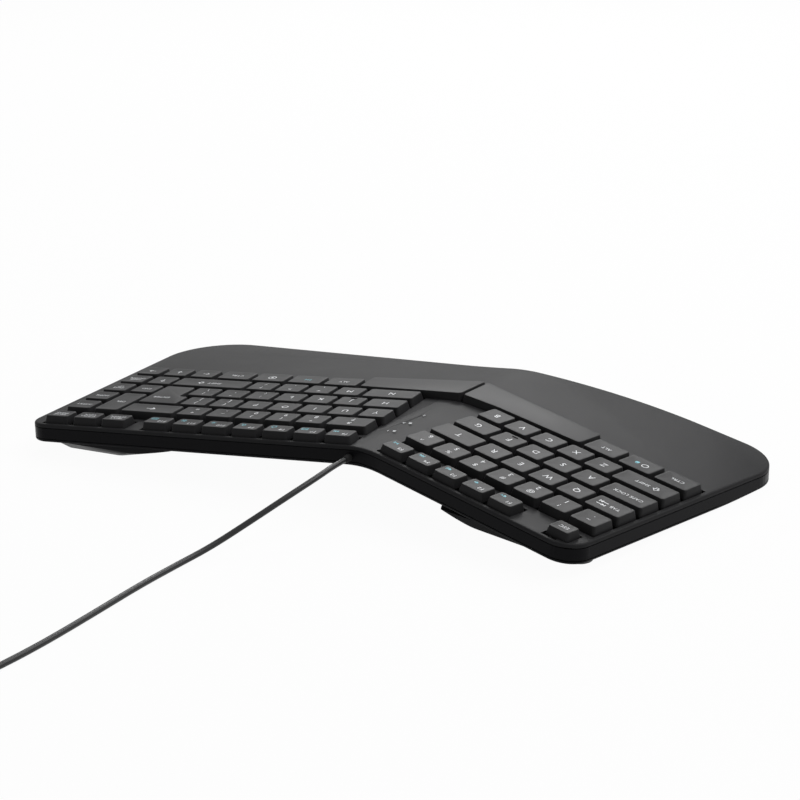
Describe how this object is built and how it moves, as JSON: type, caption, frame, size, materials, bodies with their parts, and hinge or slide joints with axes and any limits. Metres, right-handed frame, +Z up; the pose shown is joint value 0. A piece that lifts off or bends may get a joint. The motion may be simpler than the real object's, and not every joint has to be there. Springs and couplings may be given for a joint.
{
  "type": "ergonomic keyboard",
  "caption": "Wired ergonomic keyboard with two tented, splayed key fields, a wide palm rest, split space bar, low keys, curved rear feet and a USB lead.",
  "frame": {"origin": "middle of the case's outline box, on the table under its rubber feet", "axes": "+X to the typist's right, +Y away from the typist, +Z up"},
  "size_m": [0.4036, 0.5619, 0.041],
  "materials": {
    "key_caps": "fine satin texture, dark charcoal",
    "deck": "fine matt texture, dark charcoal",
    "band": "smooth satin, near black",
    "base": "matt, near black",
    "inner_plastic": "plain moulded",
    "domes": "soft milky silicone",
    "membrane": "printed film",
    "plates": "plain sheet",
    "board": "green circuit board",
    "lenses": "milky light guide",
    "feet": "matt",
    "grommet": "matt",
    "cable_jacket": "satin jacket",
    "tie": "matt",
    "plug_overmould": "matt overmould",
    "plug_shell": "nickel plated"
  },
  "bodies": {
    "case": {"top_cover": "deck", "side_band": "band", "bottom_cover": "base", "key_frame_left": "inner_plastic", "key_frame_right": "inner_plastic", "dome_sheet_left": "domes", "dome_sheet_right": "domes", "membrane_left": "membrane", "membrane_right": "membrane", "backing_plate_left": "plates", "backing_plate_right": "plates", "controller_board": "board", "indicator_lenses": "lenses", "rubber_feet": "feet", "cable_grommet": "grommet", "usb_cable": "cable_jacket", "usb_cable_coil": "cable_jacket", "cable_tie": "tie", "usb_plug_body": "plug_overmould", "usb_plug_shell": "plug_shell"},
    "alt_key_left": {"alt_key_left": "key_caps"},
    "alt_key_right": {"alt_key_right": "key_caps"},
    "arrow_down_key": {"arrow_down_key": "key_caps"},
    "arrow_left_key": {"arrow_left_key": "key_caps"},
    "arrow_right_key": {"arrow_right_key": "key_caps"},
    "arrow_up_key": {"arrow_up_key": "key_caps"},
    "backspace_key": {"backspace_key": "key_caps"},
    "caps_lock_key": {"caps_lock_key": "key_caps"},
    "control_key_left": {"control_key_left": "key_caps"},
    "control_key_right": {"control_key_right": "key_caps"},
    "delete_key": {"delete_key": "key_caps"},
    "end_key": {"end_key": "key_caps"},
    "enter_key": {"enter_key": "key_caps"},
    "esc_key": {"esc_key": "key_caps"},
    "function_keys_left": {"function_keys_left": "key_caps"},
    "function_keys_right": {"function_keys_right": "key_caps"},
    "g_key": {"g_key": "key_caps"},
    "h_key": {"h_key": "key_caps"},
    "home_letters_left": {"home_letters_left": "key_caps"},
    "home_letters_right": {"home_letters_right": "key_caps"},
    "lower_letters_left": {"lower_letters_left": "key_caps"},
    "lower_letters_right": {"lower_letters_right": "key_caps"},
    "menu_key": {"menu_key": "key_caps"},
    "n_key": {"n_key": "key_caps"},
    "number_keys_left": {"number_keys_left": "key_caps"},
    "number_keys_right": {"number_keys_right": "key_caps"},
    "print_keys": {"print_keys": "key_caps"},
    "seven_key": {"seven_key": "key_caps"},
    "shift_key_left": {"shift_key_left": "key_caps"},
    "shift_key_right": {"shift_key_right": "key_caps"},
    "side_keys": {"side_keys": "key_caps"},
    "space_bar_left": {"space_bar_left": "key_caps"},
    "space_bar_right": {"space_bar_right": "key_caps"},
    "symbol_key": {"symbol_key": "key_caps"},
    "system_key": {"system_key": "key_caps"},
    "t_key": {"t_key": "key_caps"},
    "tab_key": {"tab_key": "key_caps"},
    "upper_letters_left": {"upper_letters_left": "key_caps"},
    "upper_letters_right": {"upper_letters_right": "key_caps"}
  },
  "joints": [
    {"name": "alt_key_left_press", "type": "slide", "parent": "case", "child": "alt_key_left", "axis": [0.1236, 0.026, -0.992], "range_m": [0, 0.0028], "stiffness_N_per_m": 160, "springref_m": -0.003},
    {"name": "alt_key_right_press", "type": "slide", "parent": "case", "child": "alt_key_right", "axis": [-0.0837, 0.0261, -0.9962], "range_m": [0, 0.0028], "stiffness_N_per_m": 160, "springref_m": -0.003},
    {"name": "arrow_down_key_press", "type": "slide", "parent": "case", "child": "arrow_down_key", "axis": [-0.0837, 0.0261, -0.9962], "range_m": [0, 0.0028], "stiffness_N_per_m": 160, "springref_m": -0.003},
    {"name": "arrow_left_key_press", "type": "slide", "parent": "case", "child": "arrow_left_key", "axis": [-0.0837, 0.0261, -0.9962], "range_m": [0, 0.0028], "stiffness_N_per_m": 160, "springref_m": -0.003},
    {"name": "arrow_right_key_press", "type": "slide", "parent": "case", "child": "arrow_right_key", "axis": [-0.0837, 0.0261, -0.9962], "range_m": [0, 0.0028], "stiffness_N_per_m": 160, "springref_m": -0.003},
    {"name": "arrow_up_key_press", "type": "slide", "parent": "case", "child": "arrow_up_key", "axis": [-0.0837, 0.0261, -0.9962], "range_m": [0, 0.0028], "stiffness_N_per_m": 160, "springref_m": -0.003},
    {"name": "backspace_key_press", "type": "slide", "parent": "case", "child": "backspace_key", "axis": [-0.0837, 0.0261, -0.9962], "range_m": [0, 0.0028], "stiffness_N_per_m": 160, "springref_m": -0.003},
    {"name": "caps_lock_key_press", "type": "slide", "parent": "case", "child": "caps_lock_key", "axis": [0.1236, 0.026, -0.992], "range_m": [0, 0.0028], "stiffness_N_per_m": 160, "springref_m": -0.003},
    {"name": "control_key_left_press", "type": "slide", "parent": "case", "child": "control_key_left", "axis": [0.1236, 0.026, -0.992], "range_m": [0, 0.0028], "stiffness_N_per_m": 160, "springref_m": -0.003},
    {"name": "control_key_right_press", "type": "slide", "parent": "case", "child": "control_key_right", "axis": [-0.0837, 0.0261, -0.9962], "range_m": [0, 0.0028], "stiffness_N_per_m": 160, "springref_m": -0.003},
    {"name": "delete_key_press", "type": "slide", "parent": "case", "child": "delete_key", "axis": [-0.0837, 0.0261, -0.9962], "range_m": [0, 0.0028], "stiffness_N_per_m": 160, "springref_m": -0.003},
    {"name": "end_key_press", "type": "slide", "parent": "case", "child": "end_key", "axis": [-0.0837, 0.0261, -0.9962], "range_m": [0, 0.0028], "stiffness_N_per_m": 160, "springref_m": -0.003},
    {"name": "enter_key_press", "type": "slide", "parent": "case", "child": "enter_key", "axis": [-0.0837, 0.0261, -0.9962], "range_m": [0, 0.0028], "stiffness_N_per_m": 160, "springref_m": -0.003},
    {"name": "esc_key_press", "type": "slide", "parent": "case", "child": "esc_key", "axis": [0.1236, 0.026, -0.992], "range_m": [0, 0.0028], "stiffness_N_per_m": 160, "springref_m": -0.003},
    {"name": "function_keys_left_press", "type": "slide", "parent": "case", "child": "function_keys_left", "axis": [0.1236, 0.026, -0.992], "range_m": [0, 0.0028], "stiffness_N_per_m": 160, "springref_m": -0.003},
    {"name": "function_keys_right_press", "type": "slide", "parent": "case", "child": "function_keys_right", "axis": [-0.0837, 0.0261, -0.9962], "range_m": [0, 0.0028], "stiffness_N_per_m": 160, "springref_m": -0.003},
    {"name": "g_key_press", "type": "slide", "parent": "case", "child": "g_key", "axis": [0.1236, 0.026, -0.992], "range_m": [0, 0.0028], "stiffness_N_per_m": 160, "springref_m": -0.003},
    {"name": "h_key_press", "type": "slide", "parent": "case", "child": "h_key", "axis": [-0.0837, 0.0261, -0.9962], "range_m": [0, 0.0028], "stiffness_N_per_m": 160, "springref_m": -0.003},
    {"name": "home_letters_left_press", "type": "slide", "parent": "case", "child": "home_letters_left", "axis": [0.1236, 0.026, -0.992], "range_m": [0, 0.0028], "stiffness_N_per_m": 160, "springref_m": -0.003},
    {"name": "home_letters_right_press", "type": "slide", "parent": "case", "child": "home_letters_right", "axis": [-0.0837, 0.0261, -0.9962], "range_m": [0, 0.0028], "stiffness_N_per_m": 160, "springref_m": -0.003},
    {"name": "lower_letters_left_press", "type": "slide", "parent": "case", "child": "lower_letters_left", "axis": [0.1236, 0.026, -0.992], "range_m": [0, 0.0028], "stiffness_N_per_m": 160, "springref_m": -0.003},
    {"name": "lower_letters_right_press", "type": "slide", "parent": "case", "child": "lower_letters_right", "axis": [-0.0837, 0.0261, -0.9962], "range_m": [0, 0.0028], "stiffness_N_per_m": 160, "springref_m": -0.003},
    {"name": "menu_key_press", "type": "slide", "parent": "case", "child": "menu_key", "axis": [-0.0837, 0.0261, -0.9962], "range_m": [0, 0.0028], "stiffness_N_per_m": 160, "springref_m": -0.003},
    {"name": "n_key_press", "type": "slide", "parent": "case", "child": "n_key", "axis": [-0.0837, 0.0261, -0.9962], "range_m": [0, 0.0028], "stiffness_N_per_m": 160, "springref_m": -0.003},
    {"name": "number_keys_left_press", "type": "slide", "parent": "case", "child": "number_keys_left", "axis": [0.1236, 0.026, -0.992], "range_m": [0, 0.0028], "stiffness_N_per_m": 160, "springref_m": -0.003},
    {"name": "number_keys_right_press", "type": "slide", "parent": "case", "child": "number_keys_right", "axis": [-0.0837, 0.0261, -0.9962], "range_m": [0, 0.0028], "stiffness_N_per_m": 160, "springref_m": -0.003},
    {"name": "print_keys_press", "type": "slide", "parent": "case", "child": "print_keys", "axis": [-0.0837, 0.0261, -0.9962], "range_m": [0, 0.0028], "stiffness_N_per_m": 160, "springref_m": -0.003},
    {"name": "seven_key_press", "type": "slide", "parent": "case", "child": "seven_key", "axis": [-0.0837, 0.0261, -0.9962], "range_m": [0, 0.0028], "stiffness_N_per_m": 160, "springref_m": -0.003},
    {"name": "shift_key_left_press", "type": "slide", "parent": "case", "child": "shift_key_left", "axis": [0.1236, 0.026, -0.992], "range_m": [0, 0.0028], "stiffness_N_per_m": 160, "springref_m": -0.003},
    {"name": "shift_key_right_press", "type": "slide", "parent": "case", "child": "shift_key_right", "axis": [-0.0837, 0.0261, -0.9962], "range_m": [0, 0.0028], "stiffness_N_per_m": 160, "springref_m": -0.003},
    {"name": "side_keys_press", "type": "slide", "parent": "case", "child": "side_keys", "axis": [-0.0837, 0.0261, -0.9962], "range_m": [0, 0.0028], "stiffness_N_per_m": 160, "springref_m": -0.003},
    {"name": "space_bar_left_press", "type": "slide", "parent": "case", "child": "space_bar_left", "axis": [0.1236, 0.026, -0.992], "range_m": [0, 0.0028], "stiffness_N_per_m": 160, "springref_m": -0.003},
    {"name": "space_bar_right_press", "type": "slide", "parent": "case", "child": "space_bar_right", "axis": [-0.0837, 0.0261, -0.9962], "range_m": [0, 0.0028], "stiffness_N_per_m": 160, "springref_m": -0.003},
    {"name": "symbol_key_press", "type": "slide", "parent": "case", "child": "symbol_key", "axis": [-0.0837, 0.0261, -0.9962], "range_m": [0, 0.0028], "stiffness_N_per_m": 160, "springref_m": -0.003},
    {"name": "system_key_press", "type": "slide", "parent": "case", "child": "system_key", "axis": [0.1236, 0.026, -0.992], "range_m": [0, 0.0028], "stiffness_N_per_m": 160, "springref_m": -0.003},
    {"name": "t_key_press", "type": "slide", "parent": "case", "child": "t_key", "axis": [0.1236, 0.026, -0.992], "range_m": [0, 0.0028], "stiffness_N_per_m": 160, "springref_m": -0.003},
    {"name": "tab_key_press", "type": "slide", "parent": "case", "child": "tab_key", "axis": [0.1236, 0.026, -0.992], "range_m": [0, 0.0028], "stiffness_N_per_m": 160, "springref_m": -0.003},
    {"name": "upper_letters_left_press", "type": "slide", "parent": "case", "child": "upper_letters_left", "axis": [0.1236, 0.026, -0.992], "range_m": [0, 0.0028], "stiffness_N_per_m": 160, "springref_m": -0.003},
    {"name": "upper_letters_right_press", "type": "slide", "parent": "case", "child": "upper_letters_right", "axis": [-0.0837, 0.0261, -0.9962], "range_m": [0, 0.0028], "stiffness_N_per_m": 160, "springref_m": -0.003}
  ]
}
